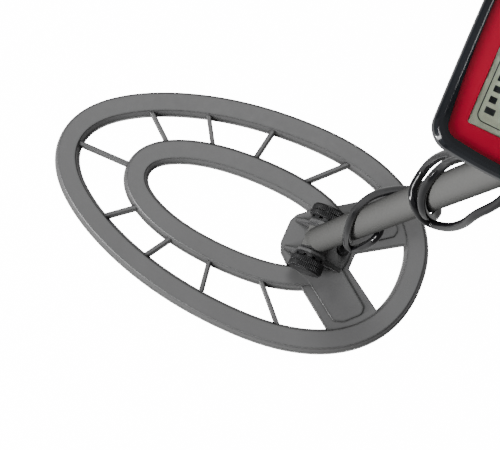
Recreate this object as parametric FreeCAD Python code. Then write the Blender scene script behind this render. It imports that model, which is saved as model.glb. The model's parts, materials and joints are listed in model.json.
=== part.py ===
import FreeCAD, Part
import math
import os

# Metal detector: open elliptical search coil, tilting yoke, telescoping stem, S-shaped handle
# rod with a display housing, foam grip and forearm rest.
#
# Part frame (mm): +Z up, +X to the rear (towards the person), +Y to the person's right.
# The origin is on the coil's flat lower face, straight under the tilt bolt.
# Shaft frame: origin on the tilt bolt, +Z up the shaft, -X the shaft's upper side, +Y as above.

V = FreeCAD.Vector

# Driving dimensions: coil
COIL_CENTRE_X = -61.0
COIL_HEIGHT = 11.5
RING_FLAT = 14.0
RING_DRAFT = 1.2
OUTER_LOOP = {"a": 140.0, "b": 79.0, "egg": 0.18, "power": 2.17}
INNER_LOOP = {"a": 86.7, "b": 41.5, "egg": 0.06, "power": 2.24}
COVER_THICK = 1.8
COVER_LIP = 0.9
POCKET_TOP = 9.0
POCKET_WIDTH = 8.5
SPOKE_WIDTH = 3.4
SPOKE_TOP = 9.0
WEB_TOP = 10.0
RAISED_TOP = 11.56
GROMMET_X = 19.0
GROMMET_Y = 4.0
# Spokes: where each one leaves the inner ring and where it reaches the outer ring.
FRONT_SPOKE = ((-147.5, 0.0), (-187.0, 0.0))
SPOKE_PAIRS = (
    ((-130.2, 26.9), (-148.0, 41.6)),
    ((-98.3, 38.1), (-109.9, 56.8)),
    ((-65.6, 42.4), (-62.0, 64.9)),
    ((-24.8, 40.6), (-3.5, 62.9)),
)

# Driving dimensions: tilting yoke
PIVOT_Z = 29.7
EAR_INNER_Y = 9.5
EAR_OUTER_Y = 12.5
EAR_RADIUS = 10.5
BOLT_R = 4.0
KNOB_R = 12.4
KNOB_NEAR_Y = 15.2
KNOB_LENGTH = 9.0
KNURL_DEPTH = 0.55
KNURL_COUNT = 52
DOME_R = 30.0
DOME_RISE = 1.6
BOLT_HALF = 21.5
CROWN_R = 11.2
CROWN_TEETH = 10

# Running clearance between parts that turn or slide
RUN = 0.1

# Driving dimensions: shaft (distances run up the shaft from the tilt bolt)
SHAFT_ANGLE = 78.5
STEM_R = 9.3
STEM_WALL = 2.0
STEM_END = 640.0
TONGUE_HALF = 7.5
MIDDLE_START = 462.0
MIDDLE_END = 690.0
MIDDLE_R = 11.1
COLLAR_LENGTH = 38.0
COLLAR_NOSE = 10.0
COLLAR_WALL = 4.4
COLLAR_BACK = 15.0
ROD_START = 560.0
ROD_R = 12.7
ROD_WALL = 1.5
BEND_START = 700.0
BEND_R = 45.0
BEND_ANGLE = 70.0
GRIP_RISE = 100.0
GRIP_R = 17.5
ARM_LENGTH = 250.0
BUTTON_S = 668.0
BUTTON_R = 4.0

# Driving dimensions: display housing (its face looks up the shaft, at the person)
HOUSING_TOP = -83.5
HOUSING_BOTTOM = -17.0
HOUSING_HALF_Y = 58.1
HOUSING_CROWN = 0.6
HOUSING_BOW = 2.4
HOUSING_BACK = 604.0
HOUSING_FACE = 644.0
HOUSING_SPLIT = 632.0
HOUSING_WALL = 2.0
HOUSING_CORNER = 10.0
PANEL_TOP = -80.1
PANEL_BOTTOM = -20.4
PANEL_HALF_Y = 53.4
PANEL_CROWN = 2.8
PANEL_CORNER = 5.5
PANEL_BACK = 639.6
PANEL_THICK = 1.6
LCD_Y = 43.1
LCD_TOP = -70.6
LCD_LOW = LCD_TOP + 26.0
KEY_NAMES = ("power_key", "mode_key", "minus_key", "plus_key", "notch_key", "pinpoint_key")
KEY_ROW_X = -31.0
KEY_PITCH = 15.0
KEY_HALF_X = 3.2
KEY_HALF_Y = 5.2
KEY_RISE = 1.0
KEY_FLANGE = 1.0
KEY_GAP = 0.25

# Driving dimensions: inside and behind the housing
BOARD_LOW = 625.0
BOARD_THICK = 1.6
SOCKET_X = -27.0
SOCKET_Y = 33.0
SOCKET_R = 6.0
PLUG_R = 4.5
JACK_Y = -34.0
JACK_S = HOUSING_BACK + 12
JACK_R = 4.5
JACK_BORE_R = 3.25
SPEAKER_X = -51.0
SPEAKER_Y = 29.5
CELL_R = 7.1
CELL_LENGTH = 48.0
CELL_S = HOUSING_BACK + 9.6
BAY_MIDDLE = -52.0
BAY_LOW_Y = -41.0
BAY_LENGTH = 55.0
CELL_X = (BAY_MIDDLE - 7.6, BAY_MIDDLE + 7.6)
CELL_LOW_Y = BAY_LOW_Y + 2.9
DOOR_HALF = 17.9
DOOR_THICK = 2.85
RAIL_THICK = 1.6
SADDLE_HALF_Y = 25.0
SADDLE_LOW = 16.5
SADDLE_SCREW_R = 2.0
SADDLE_SCREWS = [(y, s) for y in (-19.0, 19.0) for s in (HOUSING_BACK + 3, HOUSING_FACE - 13)]

# Driving dimensions: forearm rest
CUP_R = 44.0
CUP_WALL = 3.0
CUP_START = 925.0
CUP_END = 1035.0
CUP_HALF_ANGLE = 80.0
CLAMP_R = 18.0
CLAMP_LOW = CUP_START + 30
CLAMP_HIGH = CUP_END - 35
CLAMP_MIDDLE = (CLAMP_LOW + CLAMP_HIGH) / 2
CUP_SCREW_R = 2.0
CUP_SCREW_SPREAD = 12.0
CUP_HEAD_R = 3.6
ARM_SCREW_R = 3.0
PAD_THICK = 4.2
STRAP_THICK = 1.8
STRAP_HALF = 19.0

# Driving dimensions: cable
CABLE_R = 2.6
WOUND_PITCH = 95.0
WOUND_START = 55.0
WOUND_LENGTH = 350.0
UPPER_CABLE_START = 492.0
UPPER_CABLE_BEND = 532.0
BOOT_LENGTH = 16.0
TIE_LOW = 506.0
TIE_WIDTH = 14.0


# ---------------------------------------------------------------- helpers
def cyl(radius, low, high, x=0.0, y=0.0):
    """Cylinder along Z."""
    return Part.makeCylinder(radius, high - low, V(x, y, low))


def cyl_y(radius, low, high, x=0.0, z=0.0):
    """Cylinder along Y."""
    return Part.makeCylinder(radius, high - low, V(x, low, z), V(0, 1, 0))


def cyl_x(radius, low, high, y=0.0, z=0.0):
    """Cylinder along X."""
    return Part.makeCylinder(radius, high - low, V(low, y, z), V(1, 0, 0))


def tube(outer, inner, low, high, x=0.0, y=0.0):
    """Round tube along Z."""
    return cyl(outer, low, high, x, y).cut(cyl(inner, low - 1, high + 1, x, y))


def block(x0, x1, y0, y1, z0, z1):
    """Plain block between two corners."""
    return Part.makeBox(x1 - x0, y1 - y0, z1 - z0, V(x0, y0, z0))


def plate(points, low, high):
    """Prism on a plan outline."""
    corners = [V(x, y, low) for x, y in points]
    return Part.Face(Part.makePolygon(corners + corners[:1])).extrude(V(0, 0, high - low))


def upright(solid):
    """Edges of a solid that run along Z."""
    found = []
    for edge in solid.Edges:
        first, last = edge.Vertexes[0].Point, edge.Vertexes[-1].Point
        if abs(first.x - last.x) + abs(first.y - last.y) < 1e-6 and abs(first.z - last.z) > 0.1:
            found.append(edge)
    return found


def soft_plate(points, low, high, radius):
    """Prism on a plan outline with its corners rounded."""
    solid = plate(points, low, high)
    return solid.makeFillet(radius, upright(solid))


def soft_block(x0, x1, y0, y1, z0, z1, radius):
    """Block with its edges along Z rounded."""
    return soft_plate(((x0, y0), (x1, y0), (x1, y1), (x0, y1)), z0, z1, radius)


def face_edges(solid, z):
    """Edges that lie wholly at one height."""
    return [e for e in solid.Edges if abs(e.BoundBox.ZMin - z) < 1e-4 and abs(e.BoundBox.ZMax - z) < 1e-4]


def toothed(radius, depth, count, low, high):
    """Grip band: a cylinder with straight flutes."""
    points = []
    for step in range(2 * count):
        reach = radius if step % 2 == 0 else radius - depth
        turn = math.pi * step / count
        points.append((reach * math.cos(turn), reach * math.sin(turn)))
    return plate(points, low, high)


def along_y(solid):
    """Turn a solid built along +Z so that it points along +Y, and lift it to the tilt bolt."""
    turned = solid.copy()
    turned.rotate(V(0, 0, 0), V(1, 0, 0), -90)
    turned.translate(V(0, 0, PIVOT_Z))
    return turned


def mirrored_y(solid):
    """Mirror image across the plane y = 0."""
    return solid.mirror(V(0, 0, 0), V(0, 1, 0))


def up_shaft(solid):
    """Place a solid from the shaft frame in the part frame."""
    placed = solid.copy()
    placed.rotate(V(0, 0, 0), V(0, 1, 0), 90 - SHAFT_ANGLE)
    placed.translate(V(0, 0, PIVOT_Z))
    return placed


def group(solids):
    """Separate solids that share one node."""
    return Part.makeCompound(solids)


# ---------------------------------------------------------------- coil
def loop_points(loop, grow):
    """Points of an egg-shaped loop, moved outwards by grow."""
    count = 24
    base = []
    for step in range(count):
        turn = 2 * math.pi * (step + 0.5) / count
        c, s = math.cos(turn), math.sin(turn)
        x = COIL_CENTRE_X + loop["a"] * math.copysign(abs(c) ** (2 / loop["power"]), c)
        y = loop["b"] * math.copysign(abs(s) ** (2 / loop["power"]), s) * (1 + loop["egg"] * c)
        base.append((x, y))
    moved = []
    for step, (x, y) in enumerate(base):
        before, after = base[step - 1], base[(step + 1) % count]
        along = V(after[0] - before[0], after[1] - before[1], 0).normalize()
        moved.append((x + grow * along.y, y - grow * along.x))
    return moved


def loop_wire(loop, grow, z):
    """Smooth closed wire of a loop at one height."""
    curve = Part.BSplineCurve()
    curve.interpolate([V(x, y, z) for x, y in loop_points(loop, grow)], PeriodicFlag=True)
    return Part.Wire(curve.toShape())


def loft_stack(loop, levels):
    """Solid through a loop grown differently at several heights."""
    wires = [loop_wire(loop, grow, z) for grow, z in levels]
    return Part.makeLoft(wires, True, True)


def loop_solid(loop, grow_low, grow_high, low, high):
    """Solid between a loop low down and the same loop, grown differently, higher up."""
    return loft_stack(loop, ((grow_low, low), (grow_high, high)))


def ring(loop, low, high):
    """Drafted ring: flat top, walls wider at the foot, top edges eased."""
    solid = loft_stack(loop, ((RING_DRAFT, low), (0.0, high - 1.6), (-0.5, high - 0.5), (-1.3, high)))
    inside = -RING_FLAT
    hole = ((inside - RING_DRAFT, low), (inside, high - 0.7), (inside + 0.5, high))
    return solid.cut(loft_stack(loop, hole))


def pocket(loop, low, high):
    """Channel inside a ring for its winding."""
    side = (RING_FLAT - POCKET_WIDTH) / 2
    return loop_solid(loop, -side, -side, low, high).cut(
        loop_solid(loop, side - RING_FLAT, side - RING_FLAT, low - 1, high + 1))


def spoke(inner, outer, low, high):
    """Thin rib with a rounded top between the two rings."""
    run = math.dist(inner, outer)
    half = SPOKE_WIDTH / 2
    rib = block(-3, run + 3, -half, half, low, high)
    tops = [e for e in face_edges(rib, high) if e.BoundBox.XLength > run]
    rib = rib.makeFillet(half * 0.6, tops)
    rib.rotate(V(0, 0, 0), V(0, 0, 1), math.degrees(math.atan2(outer[1] - inner[1], outer[0] - inner[0])))
    rib.translate(V(inner[0], inner[1], 0))
    return rib


def all_spokes(low, high):
    """The front spoke and four mirrored pairs."""
    ribs = [spoke(FRONT_SPOKE[0], FRONT_SPOKE[1], low, high)]
    for inner, outer in SPOKE_PAIRS:
        ribs.append(spoke(inner, outer, low, high))
        ribs.append(mirrored_y(ribs[-1]))
    return ribs


def both_sides(points):
    """Close an outline by mirroring its +Y half."""
    return list(points) + [(x, -y) for x, y in reversed(points)]


def strut_web(low, high):
    """Flat web that joins the hub to the outer ring, with one window at the rear."""
    outline = both_sides(((-4, 27.8), (2.8, 32.5), (33, 54.0), (48, 56), (75, 30), (76, 8)))
    web = plate(outline, low, high).common(loop_solid(OUTER_LOOP, -RING_FLAT / 2, -RING_FLAT / 2, low, high))
    window = plate(both_sides(((28.5, 6.6), (66.0, 31.1), (80, 20))), low - 1, high + 1)
    window = window.common(
        loop_solid(OUTER_LOOP, -RING_FLAT - 0.2, -RING_FLAT - 0.2, low - 1, high + 1))
    return web.cut(window.makeFillet(2.2, upright(window)))


def plateau(low, high):
    """Raised fork on the web, with its step rounded in plan."""
    arm = ((20.5, 6.6), (49.0, 28.0), (49.6, 33.2), (40.0, 43.4), (33.0, 45.6), (5.0, 26.3), (-16, 20))
    solid = plate(both_sides(arm), low, high)
    sharp = [e for e in upright(solid) if e.Vertexes[0].Point.x > 10]
    return solid.makeFillet(3.0, sharp)


def hub(low, high):
    """Plate that stands into the inner hole under the yoke."""
    outline = both_sides(((-24.2, 8.5), (-21.6, 14.5), (-14.0, 20.8), (12.0, 24.0)))
    solid = plate(outline, low, high)
    front = [e for e in upright(solid) if e.Vertexes[0].Point.x < -20]
    return solid.makeFillet(4.0, front)


def ear():
    """One ear of the yoke, with a rib before and behind it."""
    foot = WEB_TOP
    side = ((-13.5, foot), (13.5, foot), (9.6, PIVOT_Z + 1.4), (-9.6, PIVOT_Z + 1.4))
    front_rib = ((-22.0, foot), (-6.0, foot), (-6.0, 28.0))
    rear_rib = ((25.0, foot), (6.0, foot), (6.0, 27.0))
    solid = cyl_y(EAR_RADIUS, EAR_INNER_Y, EAR_OUTER_Y, 0, PIVOT_Z)
    for outline in (side, front_rib, rear_rib):
        corners = [V(x, EAR_INNER_Y, z) for x, z in outline]
        sheet = Part.Face(Part.makePolygon(corners + corners[:1]))
        solid = solid.fuse(sheet.extrude(V(0, EAR_OUTER_Y - EAR_INNER_Y, 0)))
    foot_pad = soft_block(-15.5, 15.5, EAR_INNER_Y, EAR_OUTER_Y + 1.6, foot, COIL_HEIGHT + 1.4, 1.2)
    return solid.fuse(foot_pad)


def coil_shell():
    """Upper moulding: rings, spokes, struts, hub and yoke, with channels for the windings."""
    base = COVER_THICK
    solid = ring(OUTER_LOOP, base, COIL_HEIGHT)
    solid = solid.fuse(strut_web(base + 0.3, WEB_TOP))
    solid = solid.fuse(ring(INNER_LOOP, base, COIL_HEIGHT))
    solid = solid.fuse(plateau(base + 0.6, RAISED_TOP))
    solid = solid.fuse(hub(base + 0.9, RAISED_TOP))
    solid = solid.fuse([ear(), mirrored_y(ear())])
    solid = solid.fuse(all_spokes(base + 1.2, SPOKE_TOP))
    solid = solid.cut([pocket(OUTER_LOOP, 0, POCKET_TOP), pocket(INNER_LOOP, 0, POCKET_TOP)])
    return solid.cut(cyl_y(BOLT_R + RUN, -20, 20, 0, PIVOT_Z))


def coil_cover():
    """Flat lower cover with a small lip that shows round the edge."""
    top = COVER_THICK
    outer = loop_solid(OUTER_LOOP, RING_DRAFT + COVER_LIP, RING_DRAFT + COVER_LIP, 0, top)
    inner = loop_solid(INNER_LOOP, RING_DRAFT + COVER_LIP, RING_DRAFT + COVER_LIP, 0, top)
    hole = -RING_FLAT - RING_DRAFT - COVER_LIP
    solid = outer.cut(loop_solid(OUTER_LOOP, hole, hole, -1, top + 1))
    inner = inner.cut(loop_solid(INNER_LOOP, hole, hole, -1, top + 1))
    parts = [inner, strut_web(0, top), hub(0, top)] + all_spokes(0, top)
    return solid.fuse(parts).removeSplitter()


def winding(loop):
    """Bundle of copper wire that fills most of a channel."""
    room = 0.6
    side = (RING_FLAT - POCKET_WIDTH) / 2 + room
    outer = loop_solid(loop, -side, -side, COVER_THICK + room, POCKET_TOP - room)
    return outer.cut(loop_solid(loop, side - RING_FLAT, side - RING_FLAT, 0, POCKET_TOP + 1))


def coil_grommet():
    """Strain relief where the cable leaves the coil."""
    cone = Part.makeCone(4.6, 3.4, 6.0, V(GROMMET_X, GROMMET_Y, RAISED_TOP))
    return cone.cut(cyl(CABLE_R, COIL_HEIGHT - 1, COIL_HEIGHT + 8, GROMMET_X, GROMMET_Y))


def cable_tail():
    """Cable end inside the strain relief."""
    return cyl(CABLE_R, RAISED_TOP, RAISED_TOP + 8.5, GROMMET_X, GROMMET_Y)


# ---------------------------------------------------------------- tilting yoke hardware
def knob():
    """Round hand knob: two knurled bands, a groove between them and a domed end."""
    near = KNOB_NEAR_Y
    far = near + KNOB_LENGTH
    solid = cyl(KNOB_R - 1.0, near, far)
    for low in (near + 0.8, near + 4.7):
        solid = solid.fuse(toothed(KNOB_R, KNURL_DEPTH, KNURL_COUNT, low, low + 3.1))
    ball = Part.makeSphere(DOME_R, V(0, 0, far + DOME_RISE - DOME_R))
    return solid.fuse(ball.common(cyl(KNOB_R - 1.6, far - 0.5, far + 3)))


def tilt_bolt():
    """Bolt through the yoke, from inside one knob to inside the other."""
    return along_y(cyl(BOLT_R, -BOLT_HALF, BOLT_HALF))


def bolt_knob():
    """Knob moulded on the bolt's head, on the person's right."""
    return along_y(knob().cut(cyl(BOLT_R, 0, BOLT_HALF)))


def lock_knob():
    """Knob with the thread that locks the tilt, on the person's left."""
    return mirrored_y(along_y(knob().cut(cyl(BOLT_R + RUN, 0, BOLT_HALF + 0.5))))


def toothed_collars():
    """Crown-toothed ring against each ear."""
    low, high = EAR_OUTER_Y, KNOB_NEAR_Y - 0.3
    crown = tube(CROWN_R, BOLT_R + RUN, low, high)
    for step in range(CROWN_TEETH):
        slot = block(CROWN_R - 3.6, CROWN_R + 1.8, -1.3, 1.3, low + 0.9, high + 1)
        slot.rotate(V(0, 0, 0), V(0, 0, 1), 360 * step / CROWN_TEETH)
        crown = crown.cut(slot)
    side = along_y(crown)
    return group([side, mirrored_y(side)])


def friction_washers():
    """Rubber washers between the stem's tongue and the ears."""
    side = along_y(tube(9.0, BOLT_R + RUN, TONGUE_HALF, EAR_INNER_Y - RUN))
    return group([side, mirrored_y(side)])


# ---------------------------------------------------------------- shaft
def lower_stem():
    """Plastic stem: a flat-sided tongue at the bolt, then a round tube."""
    tongue = cyl_y(STEM_R, -TONGUE_HALF, TONGUE_HALF)
    neck = cyl(STEM_R, 0, 18).common(block(-12, 12, -TONGUE_HALF, TONGUE_HALF, 0, 18))
    shaft = cyl(STEM_R, 15, STEM_END)
    shoulder = Part.makeCone(STEM_R - 2.2, STEM_R, 5.0, V(0, 0, 10))
    solid = tongue.fuse([neck, shoulder, shaft])
    hollow = cyl(STEM_R - STEM_WALL, 34, STEM_END + 1)
    return solid.cut(hollow).cut(cyl_y(BOLT_R + RUN, -15, 15))


def stem_plug():
    """Plug that closes the top of the lower stem."""
    inside = STEM_R - STEM_WALL
    return cyl(inside, STEM_END - 14, STEM_END).fuse(cyl(STEM_R, STEM_END, STEM_END + 2.5))


def lock_collar(rod_r, start, mouth_r):
    """Twist-lock collar that screws on the end of a tube: fluted grip band, coned nose."""
    outer = rod_r + COLLAR_WALL
    grip_low = start + COLLAR_NOSE
    grip_high = start + COLLAR_LENGTH - 4
    end = start + COLLAR_LENGTH
    grip = toothed(outer, 0.7, 24, grip_low, grip_high)
    nose = Part.makeCone(mouth_r + 2.6, outer - 0.8, COLLAR_NOSE, V(0, 0, start))
    tail = cyl(outer - 0.9, grip_high, end)
    solid = grip.fuse([nose, tail])
    solid = solid.cut(cyl(mouth_r + RUN, start - 1, end + 1))
    return solid.cut(cyl(rod_r + RUN, start + 3.0, end + 1))


def collet(rod_r, start, mouth_r):
    """Split plastic ring that the collar squeezes on the inner tube."""
    sleeve = tube(rod_r, mouth_r + RUN, start + 3.5, start + 14.5)
    return sleeve.cut(block(0, 20, -0.8, 0.8, start, start + 20))


def middle_rod():
    """Aluminium tube between the stem and the handle rod, with a hole for the snap button."""
    solid = tube(MIDDLE_R, STEM_R + RUN, MIDDLE_START, MIDDLE_END)
    return solid.cut(cyl_x(BUTTON_R + RUN, 0, 20, 0, BUTTON_S))


def snap_button():
    """Round-nosed button that holds the middle rod in the handle rod."""
    foot, shoulder, tip = 5.5, 13.0, 15.5
    flat = math.sqrt(BUTTON_R ** 2 - (tip - shoulder) ** 2)
    half = BUTTON_R * math.cos(math.radians(20))
    corners = [V(foot, 0, 0), V(foot, 0, BUTTON_R), V(shoulder, 0, BUTTON_R)]
    nose_middle = V(shoulder + BUTTON_R * math.sin(math.radians(20)), 0, half)
    nose_end = V(tip, 0, flat)
    edges = [
        Part.makeLine(corners[0], corners[1]),
        Part.makeLine(corners[1], corners[2]),
        Part.Arc(corners[2], nose_middle, nose_end).toShape(),
        Part.makeLine(nose_end, V(tip, 0, 0)),
        Part.makeLine(V(tip, 0, 0), corners[0]),
    ]
    solid = Part.Face(Part.Wire(edges)).revolve(V(0, 0, 0), V(1, 0, 0), 360)
    solid.translate(V(0, 0, BUTTON_S))
    return solid


def snap_spring():
    """Leaf spring under the snap button, bent in a V."""
    points = ((5.5, -6), (5.5, 6), (-3.0, 18), (-3.9, 17.2), (4.6, 5.4), (4.6, -6))
    corners = [V(x, -3, BUTTON_S + z) for x, z in points]
    return Part.Face(Part.makePolygon(corners + corners[:1])).extrude(V(0, 6, 0))


def rod_path():
    """Centre line of the S-shaped handle rod, and the places where its stretches meet."""
    turn = math.radians(BEND_ANGLE)
    sine, cosine = math.sin(turn), math.cos(turn)
    half_sine, half_cosine = math.sin(turn / 2), math.cos(turn / 2)
    start = V(0, 0, ROD_START)
    bend_in = V(0, 0, BEND_START)
    bend_mid = V(-BEND_R * (1 - half_cosine), 0, BEND_START + BEND_R * half_sine)
    rise_low = V(-BEND_R * (1 - cosine), 0, BEND_START + BEND_R * sine)
    rise_high = rise_low + V(-sine, 0, cosine) * GRIP_RISE
    back_end = rise_high + V(-BEND_R * (1 - cosine), 0, BEND_R * sine)
    back_mid = back_end - V(-BEND_R * (1 - half_cosine), 0, BEND_R * half_sine)
    arm_end = back_end + V(0, 0, ARM_LENGTH)
    wire = Part.Wire([
        Part.makeLine(start, bend_in),
        Part.Arc(bend_in, bend_mid, rise_low).toShape(),
        Part.makeLine(rise_low, rise_high),
        Part.Arc(rise_high, back_mid, back_end).toShape(),
        Part.makeLine(back_end, arm_end),
    ])
    return wire, rise_low, rise_high, back_end


def sweep(path, radius, start, along):
    """Round bar along a path."""
    profile = Part.Wire(Part.makeCircle(radius, start, along))
    return path.makePipeShell([profile], True, False)


def handle_rod():
    """Aluminium S-shaped rod."""
    path = rod_path()[0]
    start = V(0, 0, ROD_START)
    solid = sweep(path, ROD_R, start, V(0, 0, 1)).cut(sweep(path, ROD_R - ROD_WALL, start, V(0, 0, 1)))
    return solid.cut(cyl_x(BUTTON_R + RUN, 0, 20, 0, BUTTON_S))


def hand_grip():
    """Foam sleeve on the rising stretch of the handle rod."""
    low, high = rod_path()[1:3]
    along = (high - low).normalize()
    foot = low + along * 2
    outer = Part.makeCylinder(GRIP_R, GRIP_RISE - 4, foot, along)
    return outer.cut(Part.makeCylinder(ROD_R + RUN, GRIP_RISE, foot - along, along))


def arm_axis_x():
    """Distance of the arm stretch's axis from the shaft's axis."""
    return rod_path()[3].x


def cup_axis_x():
    """Place of the cup's own axis, above the arm stretch."""
    return arm_axis_x() - CLAMP_R - CUP_WALL - CUP_R


def rod_cap():
    """End cap on the arm stretch."""
    end = rod_path()[3]
    top = end.z + ARM_LENGTH
    plug = cyl(ROD_R - ROD_WALL, top - 12, top, end.x)
    head = cyl(ROD_R + 0.8, top, top + 4.5, end.x)
    return plug.fuse(head.makeFillet(1.8, face_edges(head, top + 4.5)))


# ---------------------------------------------------------------- forearm rest
def arm_clamp():
    """Clamp that slides on the arm stretch and carries the cup."""
    x = arm_axis_x()
    low, high = CLAMP_LOW, CLAMP_HIGH
    ring_part = cyl(CLAMP_R, low, high, x)
    seat = block(x - CLAMP_R - 6, x, -15, 15, low, high)
    seat = seat.cut(cyl(CUP_R + CUP_WALL, low - 1, high + 1, cup_axis_x()))
    boss = cyl_x(8.0, x + 10, x + 27, 0, CLAMP_MIDDLE)
    solid = ring_part.fuse([seat, boss]).cut(cyl(ROD_R + RUN, low - 1, high + 1, x))
    solid = solid.cut(screw_holes(x - 25, x - 14, CUP_SCREW_R))
    return solid.cut(cyl_x(ARM_SCREW_R + RUN, x + 5, x + 40, 0, CLAMP_MIDDLE))


def arm_knob():
    """Fluted knob whose screw locks the clamp."""
    x = arm_axis_x()
    head = toothed(11.5, 0.9, 12, 0, 11).fuse(cyl(10.4, 11, 13))
    head.rotate(V(0, 0, 0), V(0, 1, 0), 90)
    head.translate(V(x + 27.3, 0, CLAMP_MIDDLE))
    return head.fuse(cyl_x(ARM_SCREW_R, x + ROD_R + 0.4, x + 28, 0, CLAMP_MIDDLE))


def cup_sector(inner, outer, low, high, half_angle):
    """Curved sheet whose middle lies on the clamp."""
    centre = cup_axis_x()
    sheet = tube(outer, inner, low, high, centre)
    reach = 3 * CUP_R
    turn = math.radians(half_angle)
    far = (centre + reach * math.cos(turn), reach * math.sin(turn))
    wedge = [(centre, 0), far]
    if half_angle > 60:
        wedge.append((centre + reach, reach))
    wedge += [(x, -y) for x, y in reversed(wedge[1:])]
    return sheet.common(plate(wedge, low - 1, high + 1))


def arm_cup():
    """Open plastic cradle for the forearm."""
    solid = cup_sector(CUP_R, CUP_R + CUP_WALL, CUP_START, CUP_END, CUP_HALF_ANGLE)
    x = cup_axis_x() + CUP_R
    return solid.cut(screw_holes(x - 2, x + 5, CUP_SCREW_R + RUN))


def screw_holes(low, high, radius):
    """Two bars along X at the cup's screw places."""
    return group([cyl_x(radius, low, high, 0, CLAMP_MIDDLE + side * CUP_SCREW_SPREAD) for side in (-1, 1)])


def arm_screws():
    """Two screws that hold the cup on the clamp."""
    x = cup_axis_x() + CUP_R
    shafts = screw_holes(x - 0.3, x + 6.5, CUP_SCREW_R).Solids
    heads = screw_holes(x - 1.9, x - 0.2, CUP_HEAD_R).Solids
    return group([shaft.fuse(head) for shaft, head in zip(shafts, heads)])


def arm_pad():
    """Foam lining of the cup."""
    outer = CUP_R - 0.4
    pad = cup_sector(outer - PAD_THICK, outer, CUP_START + 5, CUP_END - 5, CUP_HALF_ANGLE - 12)
    x = cup_axis_x() + CUP_R
    return pad.cut(screw_holes(x - 8, x, CUP_HEAD_R + 0.6))


def arm_strap():
    """Webbing strap over the forearm, held on the cup's outer sides."""
    inner = CUP_R + CUP_WALL + 0.4
    centre = cup_axis_x()
    middle = (CUP_START + CUP_END) / 2
    loop = tube(inner + STRAP_THICK, inner, middle - STRAP_HALF, middle + STRAP_HALF, centre)
    return loop.cut(block(centre + 24, centre + 90, -90, 90, middle - 30, middle + 30))


# ---------------------------------------------------------------- display housing
def bowed_prism(top, bottom, half_y, crown, corner, low, high):
    """Prism on a rounded outline: crowned top edge, bowed sides and a straight bottom edge."""
    side_y = half_y - HOUSING_BOW
    middle = (top + bottom) / 2
    corners = [V(top + crown, -side_y, low), V(top + crown, side_y, low), V(bottom, side_y, low),
               V(bottom, -side_y, low)]
    edges = [
        Part.Arc(corners[0], V(top, 0, low), corners[1]).toShape(),
        Part.Arc(corners[1], V(middle, half_y, low), corners[2]).toShape(),
        Part.makeLine(corners[2], corners[3]),
        Part.Arc(corners[3], V(middle, -half_y, low), corners[0]).toShape(),
    ]
    solid = Part.Face(Part.Wire(edges)).extrude(V(0, 0, high - low))
    return solid.makeFillet(corner, upright(solid))


def housing_stack(corner, levels):
    """Solid through housing outlines drawn in by (top and sides, bottom) margins at several heights."""
    wires = []
    for margin, bottom_margin, z in levels:
        sheet = bowed_prism(HOUSING_TOP + margin, HOUSING_BOTTOM - bottom_margin, HOUSING_HALF_Y - margin,
                            HOUSING_CROWN, corner, z, z + 1)
        floor = [face for face in sheet.Faces if face.BoundBox.ZMax < z + 0.01]
        wires.append(floor[0].OuterWire)
    return Part.makeLoft(wires, True, True)


def panel_prism(margin, low, high):
    """Prism on the panel's outline, drawn in by a margin."""
    return bowed_prism(PANEL_TOP + margin, PANEL_BOTTOM - margin, PANEL_HALF_Y - margin, PANEL_CROWN,
                       PANEL_CORNER - margin / 2, low, high)


def front_bezel():
    """Rounded frame round the panel, widest just below its face."""
    levels = ((3.2, 0.0, HOUSING_SPLIT), (0.9, 0.0, 636.0), (0.0, 0.0, 639.5), (0.35, 0.35, 641.5),
              (1.3, 1.3, 643.2), (2.8, 2.8, HOUSING_FACE))
    frame = housing_stack(HOUSING_CORNER, levels)
    frame = frame.cut(panel_prism(0, PANEL_BACK, HOUSING_FACE + 1))
    return frame.cut(panel_prism(2.0, HOUSING_SPLIT - 1, PANEL_BACK + 1))


def rear_shell():
    """Deep rear half, drawn in towards its back, with a battery bay, posts, rails and port holes."""
    back = HOUSING_BACK
    wall = HOUSING_WALL
    outside = ((13.5, 2.0, back), (10.6, 0.4, back + 1.4), (9.6, 0.0, back + 4), (3.4, 0.0, HOUSING_SPLIT))
    inside = ((12.6, wall, back + wall), (11.6, wall, back + 4), (5.4, wall, HOUSING_SPLIT + 1))
    solid = housing_stack(HOUSING_CORNER, outside).cut(housing_stack(HOUSING_CORNER - wall, inside))
    for x, half_y in ((-66.0, 43.8), (HOUSING_BOTTOM - 4.5, 12)):
        for y in (-half_y, half_y):
            solid = solid.fuse(cyl(2.0, back + 1.2, BOARD_LOW, x, y))
    near = DOOR_HALF + 0.3
    low_y, high_y = BAY_LOW_Y + 1.5, BAY_LOW_Y + BAY_LENGTH + 0.5
    rail = block(near, near + RAIL_THICK, low_y, high_y, back - 4.2, back + 1.5)
    rail = rail.fuse(block(near - RAIL_THICK, near + RAIL_THICK, low_y, high_y, back - 4.2, back - 3.2))
    for one in (rail, rail.mirror(V(0, 0, 0), V(1, 0, 0))):
        one.translate(V(BAY_MIDDLE, 0, 0))
        solid = solid.fuse(one)
    solid = solid.cut(block(BAY_MIDDLE - 15, BAY_MIDDLE + 15, BAY_LOW_Y + 3.5, BAY_LOW_Y + BAY_LENGTH - 3.5,
                            back - 1, back + 3))
    solid = solid.cut(cyl(SOCKET_R + RUN, back - 1, back + 3, SOCKET_X, SOCKET_Y))
    solid = solid.cut(cyl_x(JACK_R + RUN, HOUSING_BOTTOM - 3, HOUSING_BOTTOM + 1, JACK_Y, JACK_S))
    for row in range(-2, 3):
        slot = soft_block(-1, 1, SPEAKER_Y - 10, SPEAKER_Y + 10, back - 1, back + 3, 0.9)
        slot.translate(V(SPEAKER_X + 5.0 * row, 0, 0))
        solid = solid.cut(slot)
    return solid


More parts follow.
